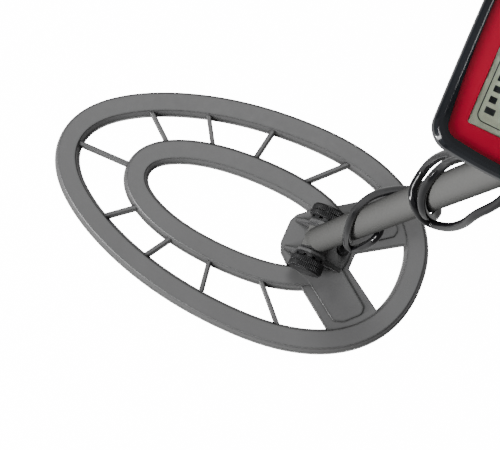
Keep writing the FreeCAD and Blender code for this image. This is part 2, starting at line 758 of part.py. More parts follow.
def key_block(index, margin, low, high):
    """Rounded block at one key's place."""
    y = KEY_PITCH * (index - (len(KEY_NAMES) - 1) / 2)
    half_x, half_y = KEY_HALF_X + margin, KEY_HALF_Y + margin
    return soft_block(KEY_ROW_X - half_x, KEY_ROW_X + half_x, y - half_y, y + half_y, low, high, 2.0)


def face_panel():
    """Panel with the display window and the key holes."""
    top = PANEL_BACK + PANEL_THICK
    solid = panel_prism(0, PANEL_BACK, top)
    solid = solid.cut(soft_block(LCD_TOP, LCD_LOW, -LCD_Y, LCD_Y, PANEL_BACK - 1, top + 1, 1.0))
    for index in range(len(KEY_NAMES)):
        solid = solid.cut(key_block(index, KEY_GAP, PANEL_BACK - 1, top + 1))
    return solid


def display_lens():
    """Clear window, flush in the panel."""
    return soft_block(LCD_TOP, LCD_LOW, -LCD_Y, LCD_Y, PANEL_BACK, PANEL_BACK + PANEL_THICK, 1.0)


def display_module():
    """Liquid-crystal glass and its frame behind the window."""
    return block(LCD_TOP + 0.5, LCD_LOW - 0.5, -LCD_Y + 0.5, LCD_Y - 0.5, PANEL_BACK - 5, PANEL_BACK - 0.2)


def key(index):
    """Key with a flange behind the panel."""
    top = PANEL_BACK + PANEL_THICK + KEY_RISE
    cap = key_block(index, 0, PANEL_BACK - 1.2, top)
    cap = cap.makeFillet(0.6, face_edges(cap, top))
    return cap.fuse(key_block(index, KEY_FLANGE, PANEL_BACK - 2.4, PANEL_BACK - 1.1))


def circuit_board():
    """Board with chips and one switch under each key."""
    low, high = BOARD_LOW, BOARD_LOW + BOARD_THICK
    margin, corner = 8.2, 7.0
    half_y = HOUSING_HALF_Y - margin
    solid = bowed_prism(HOUSING_TOP + margin, HOUSING_BOTTOM - 3, half_y, HOUSING_CROWN, corner, low, high)
    for x, y, size in ((-60, -20, 6), (-58, 12, 5), (-46, 30, 4), (-48, -2, 3.5)):
        solid = solid.fuse(block(x - size, x + size, y - size, y + size, high, high + 1.4))
    for index in range(len(KEY_NAMES)):
        y = KEY_PITCH * (index - (len(KEY_NAMES) - 1) / 2)
        solid = solid.fuse(block(KEY_ROW_X - 3, KEY_ROW_X + 3, y - 3, y + 3, high, PANEL_BACK - 3.8))
    return solid


def speaker():
    """Round loudspeaker behind the slots."""
    back = HOUSING_BACK + HOUSING_WALL
    basket = Part.makeCone(13, 9, 5, V(SPEAKER_X, SPEAKER_Y, back))
    return basket.fuse(cyl(7, back + 5, back + 9, SPEAKER_X, SPEAKER_Y))


def battery_tray():
    """Tray that holds the two cells."""
    low, high = HOUSING_BACK + HOUSING_WALL, HOUSING_BACK + 18.5
    near, far = BAY_MIDDLE - DOOR_HALF + 0.4, BAY_MIDDLE + DOOR_HALF - 0.4
    solid = soft_block(near, far, BAY_LOW_Y, BAY_LOW_Y + BAY_LENGTH, low, high, 4.0)
    room = CELL_R + 0.25
    first, last = CELL_LOW_Y - 1, CELL_LOW_Y + CELL_LENGTH + 2.2
    for x in CELL_X:
        solid = solid.cut(cyl_y(room, first, last, x, CELL_S))
        solid = solid.cut(block(x - room, x + room, first, last, low - 1, CELL_S))
    return solid


def batteries():
    """Two cells, side by side."""
    cells = []
    end = CELL_LOW_Y + CELL_LENGTH
    for x in CELL_X:
        cells.append(cyl_y(CELL_R, CELL_LOW_Y, end, x, CELL_S).fuse(cyl_y(2.7, end, end + 1.2, x, CELL_S)))
    return group(cells)


def battery_door():
    """Door that slides off the battery bay."""
    near = HOUSING_BACK - 0.15
    far = near - DOOR_THICK
    low_y, high_y = BAY_LOW_Y - 0.5, BAY_LOW_Y + BAY_LENGTH + 0.1
    solid = block(BAY_MIDDLE - DOOR_HALF, BAY_MIDDLE + DOOR_HALF, low_y, high_y, far, near)
    for row in range(4):
        rib_y = low_y + 6 + 4 * row
        solid = solid.fuse(block(BAY_MIDDLE - 8, BAY_MIDDLE + 8, rib_y, rib_y + 1.6, far - 0.9, far + 0.1))
    return solid


def headphone_jack():
    """Socket for a quarter-inch headphone plug, in the housing's lower wall."""
    wall = HOUSING_BOTTOM
    barrel = cyl_x(JACK_R, wall - 16, wall + 0.1, JACK_Y, JACK_S)
    flange = cyl_x(JACK_R + 1.9, wall, wall + 1.4, JACK_Y, JACK_S)
    return barrel.fuse(flange).cut(cyl_x(JACK_BORE_R, wall - 14.6, wall + 2, JACK_Y, JACK_S))


def cable_socket():
    """Round connector on the housing's back."""
    back = HOUSING_BACK
    bore = PLUG_R + RUN
    solid = tube(SOCKET_R, bore, back - 8, back + 6, SOCKET_X, SOCKET_Y)
    return solid.fuse(tube(SOCKET_R + 2.6, bore, back - 1.6, back, SOCKET_X, SOCKET_Y))


def cable_plug():
    """Plug at the cable's end, with a ribbed boot."""
    back = HOUSING_BACK
    solid = cyl(PLUG_R, back - 14, back - 1, SOCKET_X, SOCKET_Y)
    solid = solid.fuse(cyl(6.6, back - 20, back - 12.6, SOCKET_X, SOCKET_Y))
    boot = Part.makeCone(3.4, 5.2, BOOT_LENGTH, V(SOCKET_X, SOCKET_Y, back - 20 - BOOT_LENGTH))
    return solid.fuse(boot).cut(cyl(CABLE_R, back - 40, back - 28, SOCKET_X, SOCKET_Y))


def plug_nut():
    """Fluted ring nut that locks the plug."""
    back = HOUSING_BACK
    grip = toothed(8.4, 0.5, 20, back - 12.4, back - 2.0)
    grip.translate(V(SOCKET_X, SOCKET_Y, 0))
    grip = grip.cut(cyl(SOCKET_R + RUN, back - 9, back, SOCKET_X, SOCKET_Y))
    return grip.cut(cyl(PLUG_R + RUN, back - 14, back, SOCKET_X, SOCKET_Y))


def saddle(x0, x1):
    """One half of the clamp that carries the housing on the handle rod."""
    solid = soft_block(x0, x1, -SADDLE_HALF_Y, SADDLE_HALF_Y, HOUSING_BACK - 6, HOUSING_FACE - 4, 3.0)
    return solid.cut(cyl(ROD_R, HOUSING_BACK - 8, HOUSING_FACE))


def saddle_upper():
    """Upper half, under the housing."""
    solid = saddle(HOUSING_BOTTOM, -2)
    for y, s in SADDLE_SCREWS:
        solid = solid.cut(cyl_x(SADDLE_SCREW_R, -12, 0, y, s))
    return solid


def saddle_lower():
    """Lower half."""
    solid = saddle(2, SADDLE_LOW)
    for y, s in SADDLE_SCREWS:
        solid = solid.cut(cyl_x(SADDLE_SCREW_R + 0.2, 0, 20, y, s))
    return solid


def saddle_screws():
    """Four screws that draw the halves together."""
    screws = []
    for y, s in SADDLE_SCREWS:
        head = cyl_x(3.7, SADDLE_LOW, SADDLE_LOW + 3, y, s).cut(cyl_x(1.6, SADDLE_LOW + 1.3, 20, y, s))
        screws.append(cyl_x(SADDLE_SCREW_R, -12, SADDLE_LOW + 0.5, y, s).fuse(head))
    return group(screws)


# ---------------------------------------------------------------- cable
def cable_wound():
    """Cable wound loosely round the lower stem."""
    reach = STEM_R + CABLE_R + 1.4
    helix = Part.makeHelix(WOUND_PITCH, WOUND_LENGTH, reach)
    helix.translate(V(0, 0, WOUND_START))
    along = V(0, reach, WOUND_PITCH / (2 * math.pi)).normalize()
    profile = Part.Wire(Part.makeCircle(CABLE_R, V(reach, 0, WOUND_START), along))
    return Part.Wire(helix.Edges).makePipeShell([profile], True, True)


def cable_upper():
    """Cable from the middle rod up to the plug."""
    beside = MIDDLE_R + CABLE_R + 0.4
    low = V(0, beside, UPPER_CABLE_START)
    bend = V(0, beside, UPPER_CABLE_BEND)
    boot = V(SOCKET_X, SOCKET_Y, HOUSING_BACK - 20 - BOOT_LENGTH - 1)
    end = V(SOCKET_X, SOCKET_Y, HOUSING_BACK - 28.2)
    curve = Part.BSplineCurve()
    curve.interpolate([bend, V(-9, 26, 551), boot], InitialTangent=V(0, 0, 1), FinalTangent=V(0, 0, 1))
    path = Part.Wire([Part.makeLine(low, bend), curve.toShape(), Part.makeLine(boot, end)])
    return sweep(path, CABLE_R, low, V(0, 0, 1))


def cable_tie():
    """Fabric tie that holds the cable to the middle rod."""
    inner = MIDDLE_R + CABLE_R + 0.35
    return tube(inner + 1.2, inner, TIE_LOW, TIE_LOW + TIE_WIDTH, 0, CABLE_R + 0.2)


# ---------------------------------------------------------------- export
def nodes():
    """Every node and its solid in the part frame."""
    made = {
        "coil_shell": coil_shell(),
        "coil_cover": coil_cover(),
        "transmit_winding": winding(OUTER_LOOP),
        "receive_winding": winding(INNER_LOOP),
        "coil_grommet": coil_grommet(),
        "cable_tail": cable_tail(),
        "tilt_bolt": tilt_bolt(),
        "bolt_knob": bolt_knob(),
        "lock_knob": lock_knob(),
        "toothed_collars": toothed_collars(),
        "friction_washers": friction_washers(),
    }
    on_shaft = {
        "lower_stem": lower_stem(),
        "stem_plug": stem_plug(),
        "lower_collar": lock_collar(MIDDLE_R, MIDDLE_START - COLLAR_BACK, STEM_R),
        "lower_collet": collet(MIDDLE_R, MIDDLE_START - COLLAR_BACK, STEM_R),
        "middle_rod": middle_rod(),
        "upper_collar": lock_collar(ROD_R, ROD_START - COLLAR_BACK, MIDDLE_R),
        "upper_collet": collet(ROD_R, ROD_START - COLLAR_BACK, MIDDLE_R),
        "snap_button": snap_button(),
        "snap_spring": snap_spring(),
        "handle_rod": handle_rod(),
        "hand_grip": hand_grip(),
        "rod_cap": rod_cap(),
        "arm_clamp": arm_clamp(),
        "arm_knob": arm_knob(),
        "arm_cup": arm_cup(),
        "arm_screws": arm_screws(),
        "arm_pad": arm_pad(),
        "arm_strap": arm_strap(),
        "front_bezel": front_bezel(),
        "rear_shell": rear_shell(),
        "face_panel": face_panel(),
        "display_lens": display_lens(),
        "display_module": display_module(),
        "circuit_board": circuit_board(),
        "speaker": speaker(),
        "battery_tray": battery_tray(),
        "batteries": batteries(),
        "battery_door": battery_door(),
        "headphone_jack": headphone_jack(),
        "cable_socket": cable_socket(),
        "cable_plug": cable_plug(),
        "plug_nut": plug_nut(),
        "saddle_upper": saddle_upper(),
        "saddle_lower": saddle_lower(),
        "saddle_screws": saddle_screws(),
        "cable_wound": cable_wound(),
        "cable_upper": cable_upper(),
        "cable_tie": cable_tie(),
    }
    for index, name in enumerate(KEY_NAMES):
        on_shaft[name] = key(index)
    for name, solid in on_shaft.items():
        made[name] = up_shaft(solid)
    return made


def main():
    os.makedirs("parts", exist_ok=True)
    for name, solid in nodes().items():
        if not solid.isValid():
            print("not valid:", name)
        solid.exportStep(os.path.join("parts", name + ".step"))
        print(name, "solids", len(solid.Solids), "volume", round(solid.Volume))


main()
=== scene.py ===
import json
import math

import bmesh
import bpy
from mathutils import Matrix, Vector


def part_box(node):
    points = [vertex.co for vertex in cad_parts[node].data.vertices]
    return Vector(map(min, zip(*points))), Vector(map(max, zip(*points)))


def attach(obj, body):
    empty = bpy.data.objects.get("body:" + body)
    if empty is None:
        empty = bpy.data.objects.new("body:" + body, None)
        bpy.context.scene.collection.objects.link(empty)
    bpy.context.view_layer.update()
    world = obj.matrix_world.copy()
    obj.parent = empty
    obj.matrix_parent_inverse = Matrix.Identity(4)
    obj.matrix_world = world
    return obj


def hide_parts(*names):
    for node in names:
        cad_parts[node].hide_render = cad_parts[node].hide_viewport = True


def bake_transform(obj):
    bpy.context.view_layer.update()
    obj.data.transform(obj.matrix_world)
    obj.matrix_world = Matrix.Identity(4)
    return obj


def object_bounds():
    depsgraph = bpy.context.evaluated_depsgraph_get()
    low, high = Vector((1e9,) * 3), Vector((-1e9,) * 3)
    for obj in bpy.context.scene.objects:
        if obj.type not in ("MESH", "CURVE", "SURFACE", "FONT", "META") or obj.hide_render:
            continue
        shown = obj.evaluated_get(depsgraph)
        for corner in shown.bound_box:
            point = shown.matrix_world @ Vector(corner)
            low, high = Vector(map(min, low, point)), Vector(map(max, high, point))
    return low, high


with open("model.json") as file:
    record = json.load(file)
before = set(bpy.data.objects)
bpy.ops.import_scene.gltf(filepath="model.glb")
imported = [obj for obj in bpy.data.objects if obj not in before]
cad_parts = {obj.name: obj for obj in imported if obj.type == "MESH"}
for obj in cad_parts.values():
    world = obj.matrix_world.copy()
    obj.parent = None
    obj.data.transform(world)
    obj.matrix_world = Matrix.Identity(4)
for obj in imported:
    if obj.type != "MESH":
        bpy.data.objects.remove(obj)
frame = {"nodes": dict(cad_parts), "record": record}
CAD_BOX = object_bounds()
NODES = frame["nodes"]
MM = 0.001

# The shaft frame of the part: +Z up the shaft from the tilt bolt, -X its upper side.
BOLT = sum(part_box("tilt_bolt"), Vector()) / 2
SHAFT_LEAN = math.radians(11.5)
SHAFT = Matrix.Translation(BOLT) @ Matrix.Rotation(SHAFT_LEAN, 4, "Y")

# Sizes in the shaft frame, in mm.
MIDDLE_R = 11.1
CABLE_R = 2.6
GRIP_R = 17.5
BEND_START = 700.0
BEND_R = 45.0
BEND_TURN = math.radians(70.0)
GRIP_STARTS = 2.5
GRIP_ENDS = 97.5
CUP_X = -218.2
ARM_MIDDLE = 980.0
PAD_HALF_LENGTH = 50.0
STRAP_HALF_WIDTH = 19.0
TIE_LOW = 506.0
TIE_WIDTH = 14.0
KEYS = ("power_key", "mode_key", "minus_key", "plus_key", "notch_key", "pinpoint_key")

# Studio: how bright the camera sees the white surround, how bright the pieces see it,
# and how far below the coil the floor lies, in metres.
FLOOR_GLOW = 14.0
WORLD_GLOW = 0.24
FLOOR_DROP = 0.42


def shaft_box(name):
    """Lowest and highest corner of a node in the shaft frame, in mm."""
    turned = SHAFT.inverted()
    points = [turned @ vertex.co / MM for vertex in NODES[name].data.vertices]
    low = Vector(min(point[axis] for point in points) for axis in range(3))
    high = Vector(max(point[axis] for point in points) for axis in range(3))
    return low, high


# ---------------------------------------------------------------- materials
def new_material(name):
    """A node material and its surface shader."""
    made = bpy.data.materials.new(name)
    made.use_nodes = True
    return made, made.node_tree.nodes["Principled BSDF"]


def add(made, kind, **values):
    """A shader node with its values set by input name."""
    node = made.node_tree.nodes.new(kind)
    for key, value in values.items():
        if hasattr(node, key):
            setattr(node, key, value)
        else:
            node.inputs[key.replace("_", " ")].default_value = value
    return node


def link(made, output, target):
    """Join an output to an input."""
    made.node_tree.links.new(output, target)


def noise(made, scale, detail=4.0, rough=0.55, stretch=(1, 1, 1)):
    """Noise fixed to the piece, in waves per metre."""
    place = add(made, "ShaderNodeTexCoord")
    mapping = add(made, "ShaderNodeMapping")
    mapping.inputs["Scale"].default_value = stretch
    link(made, place.outputs["Object"], mapping.inputs["Vector"])
    texture = add(made, "ShaderNodeTexNoise", Scale=scale, Detail=detail, Roughness=rough)
    link(made, mapping.outputs["Vector"], texture.inputs["Vector"])
    return texture.outputs["Fac"]


def ramp(made, value, stops):
    """Colour ramp over a value."""
    node = add(made, "ShaderNodeValToRGB")
    link(made, value, node.inputs["Fac"])
    band = node.color_ramp
    while len(band.elements) < len(stops):
        band.elements.new(0.5)
    for element, (at, shade) in zip(band.elements, stops):
        element.position = at
        element.color = (*shade, 1) if len(shade) == 3 else shade
    return node.outputs["Color"]


def scaled(colour, factor):
    """A colour made lighter or darker."""
    return tuple(min(1.0, c * factor) for c in colour)


def mix_shade(made, first, second, amount, kind="MIX"):
    """Mix two colours by an amount; each may be a value or another node's output."""
    node = add(made, "ShaderNodeMix", data_type="RGBA", blend_type=kind)
    for socket, value in ((node.inputs[6], first), (node.inputs[7], second), (node.inputs[0], amount)):
        if isinstance(value, bpy.types.NodeSocket):
            link(made, value, socket)
        elif isinstance(value, tuple):
            socket.default_value = (*value, 1)
        else:
            socket.default_value = value
    return node.outputs[2]


def roughness(made, shader, value, low, high):
    """Roughness that varies between two limits with a value."""
    spread = add(made, "ShaderNodeMapRange", To_Min=low, To_Max=high)
    link(made, value, spread.inputs["Value"])
    link(made, spread.outputs["Result"], shader.inputs["Roughness"])


def surface(made, shader, height, distance, strength=1.0, edge=0.0):
    """Bump from a height value, over edges softened by a small radius."""
    bump = add(made, "ShaderNodeBump", Strength=strength, Distance=distance)
    link(made, height, bump.inputs["Height"])
    if edge:
        soft = add(made, "ShaderNodeBevel", samples=6, Radius=edge)
        link(made, soft.outputs["Normal"], bump.inputs["Normal"])
    link(made, bump.outputs["Normal"], shader.inputs["Normal"])


# Tone of the painted shade drawn along sharp edges.
EDGE_SHADE_TONE = 0.22
# Tone of the painted shade on the sides of a tube.
SIDE_SHADE_TONE = 0.4


def painted_edge_shade(made, shade, dark, width):
    """Painted shade: darkens a thin strip along every sharp edge, convex and concave, in place of the shade
    on rounded edges and in creases.
    """
    bevel = add(made, "ShaderNodeBevel", Radius=width)
    shape = add(made, "ShaderNodeNewGeometry")
    match = add(made, "ShaderNodeVectorMath", operation="DOT_PRODUCT")
    link(made, bevel.outputs["Normal"], match.inputs[0])
    link(made, shape.outputs["Normal"], match.inputs[1])
    near = ramp(made, match.outputs["Value"], ((0.8, (1, 1, 1)), (0.995, (0, 0, 0))))
    return mix_shade(made, shade, dark, near)


def painted_side_shade(made, shade, colour):
    """Painted shade: darkens a shade where the surface turns away from the eye, in place of the shade on the
    sides of a tube.
    """
    turn = add(made, "ShaderNodeLayerWeight", Blend=0.5)
    away = ramp(made, turn.outputs["Facing"], ((0.72, (0, 0, 0)), (0.97, (1, 1, 1))))
    return mix_shade(made, shade, scaled(colour, SIDE_SHADE_TONE), away)


def moulded(name, colour, low, high, grain, depth, worn, edge, gleam=0.42, edge_shade_width=0.0, side_shade=False):
    """Moulded plastic: fine grain, cloudy tone and slightly lighter handled edges.

    The last two arguments give the width of painted shade strips along the sharp edges, and whether to paint
    shade on the sides of a tube where they turn from the eye.
    """
    made, shader = new_material(name)
    cloud = noise(made, 38.0, 3.0)
    tone = ramp(made, cloud, ((0.3, scaled(colour, 0.9)), (0.7, scaled(colour, 1.08))))
    shape = add(made, "ShaderNodeNewGeometry")
    rim = ramp(made, shape.outputs["Pointiness"], ((0.5, (0, 0, 0)), (0.56, (1, 1, 1))))
    shade = mix_shade(made, tone, scaled(colour, worn), rim)
    # Painted shade along sharp edges, convex and concave.
    if edge_shade_width > 0:
        shade = painted_edge_shade(made, shade, scaled(colour, EDGE_SHADE_TONE), edge_shade_width)
    # Painted shade on the sides of a tube, where they turn from the eye.
    if side_shade:
        shade = painted_side_shade(made, shade, colour)
    link(made, shade, shader.inputs["Base Color"])
    fine = noise(made, grain, 2.0)
    roughness(made, shader, noise(made, 160.0, 5.0), low, high)
    surface(made, shader, fine, depth, 0.6, edge)
    shader.inputs["Specular IOR Level"].default_value = gleam
    return made


def glossy(name, colour, rough=0.07):
    """Polished black plastic with faint orange peel, fine hairlines and dust."""
    made, shader = new_material(name)
    cloud = noise(made, 25.0, 2.0)
    shade = ramp(made, cloud, ((0.3, scaled(colour, 0.75)), (0.7, scaled(colour, 1.3))))
    link(made, shade, shader.inputs["Base Color"])
    hair = noise(made, 420.0, 3.0, 0.7, (1.0, 0.06, 0.4))
    roughness(made, shader, hair, rough, rough + 0.07)
    surface(made, shader, noise(made, 300.0, 2.0), 0.00002, 0.5, 0.0006)
    shader.inputs["Coat Weight"].default_value = 0.6
    shader.inputs["Coat Roughness"].default_value = 0.03
    return made


def red_print():
    """Deep red faceplate film: satin lacquer over a fine fleck."""
    made, shader = new_material("red_panel_film")
    fleck = noise(made, 2400.0, 3.0)
    cloud = noise(made, 22.0, 2.0)
    base = ramp(made, cloud, ((0.3, (0.32, 0.0008, 0.02)), (0.7, (0.35, 0.001, 0.023))))
    flecks = ramp(made, fleck, ((0.62, (0, 0, 0)), (0.75, (0.35, 0.35, 0.35))))
    shade = mix_shade(made, base, (0.39, 0.002, 0.029), flecks)
    link(made, shade, shader.inputs["Base Color"])
    roughness(made, shader, noise(made, 500.0, 3.0), 0.3, 0.42)
    surface(made, shader, fleck, 0.00002, 0.5, 0.0003)
    shader.inputs["Specular IOR Level"].default_value = 0.3
    return made


def powder_coat():
    """Black powder coat on aluminium tube, with fine orange peel."""
    made, shader = new_material("powder_coat")
    shade = ramp(made, noise(made, 60.0, 3.0), ((0.3, (0.014, 0.014, 0.015)), (0.7, (0.022, 0.022, 0.023))))
    link(made, shade, shader.inputs["Base Color"])
    roughness(made, shader, noise(made, 240.0, 4.0), 0.3, 0.42)
    surface(made, shader, noise(made, 1500.0, 2.0), 0.00005, 0.8, 0.0003)
    shader.inputs["Metallic"].default_value = 0.25
    return made


def metal(name, colour, low, high, brushed=(1, 1, 1)):
    """Plated or brushed metal."""
    made, shader = new_material(name)
    streak = noise(made, 900.0, 4.0, 0.6, brushed)
    shade = ramp(made, streak, ((0.3, scaled(colour, 0.8)), (0.7, scaled(colour, 1.1))))
    link(made, shade, shader.inputs["Base Color"])
    roughness(made, shader, streak, low, high)
    surface(made, shader, streak, 0.00002, 0.4, 0.0003)
    shader.inputs["Metallic"].default_value = 1.0
    return made


def rubber(name, colour, pitch=1400.0):
    """Matte rubber with a dusty bloom."""
    made, shader = new_material(name)
    bloom = ramp(made, noise(made, 90.0, 5.0), ((0.35, colour), (0.75, scaled(colour, 1.7))))
    link(made, bloom, shader.inputs["Base Color"])
    roughness(made, shader, noise(made, 300.0, 3.0), 0.55, 0.75)
    surface(made, shader, noise(made, pitch, 3.0), 0.0001, 0.6, 0.0004)
    return made


def foam(name, colour):
    """Closed-cell foam: small open pores on a soft skin."""
    made, shader = new_material(name)
    place = add(made, "ShaderNodeTexCoord")
    cells = add(made, "ShaderNodeTexVoronoi", Scale=1100.0)
    link(made, place.outputs["Object"], cells.inputs["Vector"])
    pores = ramp(made, cells.outputs["Distance"], ((0.0, (0, 0, 0)), (0.35, (1, 1, 1))))
    shade = mix_shade(made, scaled(colour, 0.45), colour, pores)
    link(made, shade, shader.inputs["Base Color"])
    roughness(made, shader, noise(made, 200.0, 3.0), 0.75, 0.92)
    surface(made, shader, pores, 0.00035, 0.8)
    shader.inputs["Sheen Weight"].default_value = 0.06
    return made


def woven(name, colour, pitch=0.0022):
    """Woven webbing: two sets of crossing threads."""
    made, shader = new_material(name)
    place = add(made, "ShaderNodeTexCoord")
    waves = []
    for axis in ("X", "Z"):
        wave = add(made, "ShaderNodeTexWave", bands_direction=axis, Scale=0.314 / pitch, Distortion=0.4)
        wave.inputs["Detail"].default_value = 1.0
        link(made, place.outputs["Object"], wave.inputs["Vector"])
        waves.append(wave.outputs["Fac"])
    both = mix_shade(made, waves[0], waves[1], 1.0, "MULTIPLY")
    shade = mix_shade(made, scaled(colour, 0.5), scaled(colour, 1.1), both)
    link(made, shade, shader.inputs["Base Color"])
    roughness(made, shader, noise(made, 700.0, 3.0), 0.75, 0.95)
    surface(made, shader, both, 0.0002, 0.6)
    shader.inputs["Sheen Weight"].default_value = 0.08
    return made


def neoprene(name, colour):
    """Knit-faced neoprene."""
    made, shader = new_material(name)
    place = add(made, "ShaderNodeTexCoord")
    knit = add(made, "ShaderNodeTexVoronoi", Scale=1500.0, feature="F1")
    link(made, place.outputs["Object"], knit.inputs["Vector"])
    shade = ramp(made, knit.outputs["Distance"], ((0.1, scaled(colour, 1.5)), (0.6, scaled(colour, 0.6))))
    link(made, shade, shader.inputs["Base Color"])
    roughness(made, shader, noise(made, 350.0, 3.0), 0.8, 0.95)
    surface(made, shader, knit.outputs["Distance"], 0.0002, 0.7)
    shader.inputs["Sheen Weight"].default_value = 0.15
    return made


def clear_window():
    """Clear window with light reflections and faint wipe marks."""
    made, shader = new_material("clear_window")
    shader.inputs["Base Color"].default_value = (0.97, 0.99, 0.97, 1)
    shader.inputs["Transmission Weight"].default_value = 1.0
    shader.inputs["IOR"].default_value = 1.45
    roughness(made, shader, noise(made, 260.0, 4.0, 0.7, (1, 0.2, 1)), 0.01, 0.06)
    return made


def display_film():
    """Reflective liquid-crystal film: grey-green, finely dotted."""
    made, shader = new_material("display_film")
    dots = noise(made, 3200.0, 1.0)
    shade = ramp(made, dots, ((0.3, (0.5, 0.53, 0.42)), (0.7, (0.6, 0.63, 0.5))))
    link(made, shade, shader.inputs["Base Color"])
    roughness(made, shader, noise(made, 150.0, 3.0), 0.4, 0.55)
    surface(made, shader, dots, 0.00001, 0.3)
    return made


def printed(name, colour):
    """Ink with a slightly uneven film."""
    made, shader = new_material(name)
    shade = ramp(made, noise(made, 1800.0, 3.0), ((0.3, scaled(colour, 0.85)), (0.7, colour)))
    link(made, shade, shader.inputs["Base Color"])
    roughness(made, shader, noise(made, 600.0, 2.0), 0.4, 0.6)
    return made


def cable_jacket():
    """Glossy black cable jacket with the twist of its cores just showing."""
    made, shader = new_material("cable_jacket")
    shade = ramp(made, noise(made, 70.0, 4.0), ((0.3, (0.003, 0.003, 0.0035)), (0.7, (0.006, 0.006, 0.007))))
    link(made, shade, shader.inputs["Base Color"])
    roughness(made, shader, noise(made, 200.0, 3.0), 0.1, 0.18)
    surface(made, shader, noise(made, 260.0, 2.0), 0.00003, 0.4)
    shader.inputs["Specular IOR Level"].default_value = 0.28
    shader.inputs["Coat Weight"].default_value = 0.2
    shader.inputs["Coat Roughness"].default_value = 0.05
    return made


def build_materials():
    """One material for each of the record's slots."""
    return {
        # The coil's plastic carries painted shade along its sharp edges.
        "coil_plastic": moulded("coil_plastic", (0.069, 0.069, 0.07), 0.36, 0.5, 2200.0, 0.00005,
                                worn=1.0, edge=0.0005, edge_shade_width=0.0026),
        "cover_plastic": moulded("cover_plastic", (0.15, 0.15, 0.15), 0.35, 0.5, 2200.0, 0.00005,
                                 worn=1.2, edge=0.0003),
        "copper": metal("copper", (0.78, 0.36, 0.2), 0.25, 0.45, (1, 1, 8)),
        "black_rubber": rubber("black_rubber", (0.022, 0.022, 0.023)),
        "cable_jacket": cable_jacket(),
        "black_nylon": moulded("black_nylon", (0.009, 0.009, 0.0095), 0.34, 0.48, 1800.0, 0.00006,
                               worn=1.4, edge=0.0003, gleam=0.3),
        # The stem's plastic carries painted shade on its sides.
        "stem_plastic": moulded("stem_plastic", (0.072, 0.072, 0.07), 0.55, 0.65, 1600.0, 0.00004,
                                worn=1.1, edge=0.0005, gleam=0.05, side_shade=True),
        "painted_tube": powder_coat(),
        "spring_steel": metal("zinc_steel", (0.62, 0.62, 0.63), 0.2, 0.4, (1, 1, 6)),
        "grip_foam": foam("grip_foam", (0.013, 0.013, 0.0137)),
        "cup_plastic": moulded("cup_plastic", (0.016, 0.016, 0.0165), 0.45, 0.62, 900.0, 0.0002,
                               worn=1.5, edge=0.0006),
        "pad_foam": neoprene("pad_neoprene", (0.016, 0.016, 0.018)),
        "webbing": woven("webbing", (0.013, 0.013, 0.0145)),
        "housing_gloss": glossy("housing_gloss", (0.006, 0.007, 0.009)),
        "red_panel": red_print(),
        "clear_window": clear_window(),
        "display_glass": display_film(),
        "board_green": moulded("board_green", (0.03, 0.16, 0.06), 0.3, 0.45, 700.0, 0.0001,
                               worn=1.6, edge=0.0002),
        "speaker_black": rubber("speaker_black", (0.02, 0.02, 0.02), 700.0),
        "battery_wrap": glossy("battery_wrap", (0.12, 0.13, 0.16), 0.2),
        "plated_metal": metal("nickel", (0.66, 0.66, 0.67), 0.12, 0.28),
        "key_rubber": rubber("key_rubber", (0.03, 0.03, 0.032), 1700.0),
    }


MATERIALS = build_materials()
PRINT_WHITE = printed("print_white", (0.75, 0.75, 0.75))
PRINT_BLACK = printed("print_black", (0.012, 0.013, 0.012))


def finish_cad_nodes():
    """Every CAD node gets the material of its slot."""
    for row in frame["record"]["subparts"]:
        node = NODES[row["node"]]
        node.data.materials.clear()
        node.data.materials.append(MATERIALS[row["material_slot"]])


# ---------------------------------------------------------------- mesh helpers
def mesh_object(name, verts, faces, material, smooth=True):
    """Mesh object from vertices in metres and faces."""
    data = bpy.data.meshes.new(name)
    data.from_pydata([tuple(v) for v in verts], [], faces)
    data.update()
    made = bpy.data.objects.new(name, data)
    bpy.context.scene.collection.objects.link(made)
    data.materials.append(material)
    for face in data.polygons:
        face.use_smooth = smooth
    return made


def on_shaft(x, y, z):
    """Point of the shaft frame, in mm, as a point of the part frame, in metres."""
    return SHAFT @ (Vector((x, y, z)) * MM)


def smooth_path(points, steps=10):
    """Catmull-Rom curve through points."""
    rows = [2 * points[0] - points[1]] + list(points) + [2 * points[-1] - points[-2]]
    path = []
    for index in range(1, len(rows) - 2):
        a, b, c, d = rows[index - 1:index + 3]
        for step in range(steps):
            t = step / steps
            path.append(0.5 * (2 * b + (c - a) * t + (2 * a - 5 * b + 4 * c - d) * t * t
                               + (3 * b - a - 3 * c + d) * t ** 3))
    path.append(points[-1].copy())
    return path


def tube_along(name, path, radius, material, sides=16, bulge=None):
    """Round bar along a path, with closed ends; bulge(share, angle) scales the radius."""
    verts, faces = [], []
    across = (path[1] - path[0]).orthogonal().normalized()
    count = len(path)
    for index, centre in enumerate(path):
        along = (path[min(index + 1, count - 1)] - path[max(index - 1, 0)]).normalized()
        across = (across - along * across.dot(along)).normalized()
        side = along.cross(across)
        for corner in range(sides):
            turn = 2 * math.pi * corner / sides
            reach = radius * (bulge(index / (count - 1), turn) if bulge else 1.0)
            verts.append(centre + reach * (math.cos(turn) * across + math.sin(turn) * side))
    for index in range(count - 1):
        for corner in range(sides):
            first = index * sides + corner
            second = index * sides + (corner + 1) % sides
            faces.append((first, second, second + sides, first + sides))
    faces.append(tuple(reversed(range(sides))))
    faces.append(tuple(range((count - 1) * sides, count * sides)))
    return mesh_object(name, verts, faces, material)


def settle(made, body, node_slot, *replaced):
    """Put a piece on its body and hide the CAD nodes it stands for."""
    if body:
        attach(made, body)
    if replaced:
        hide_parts(*replaced)
    return made


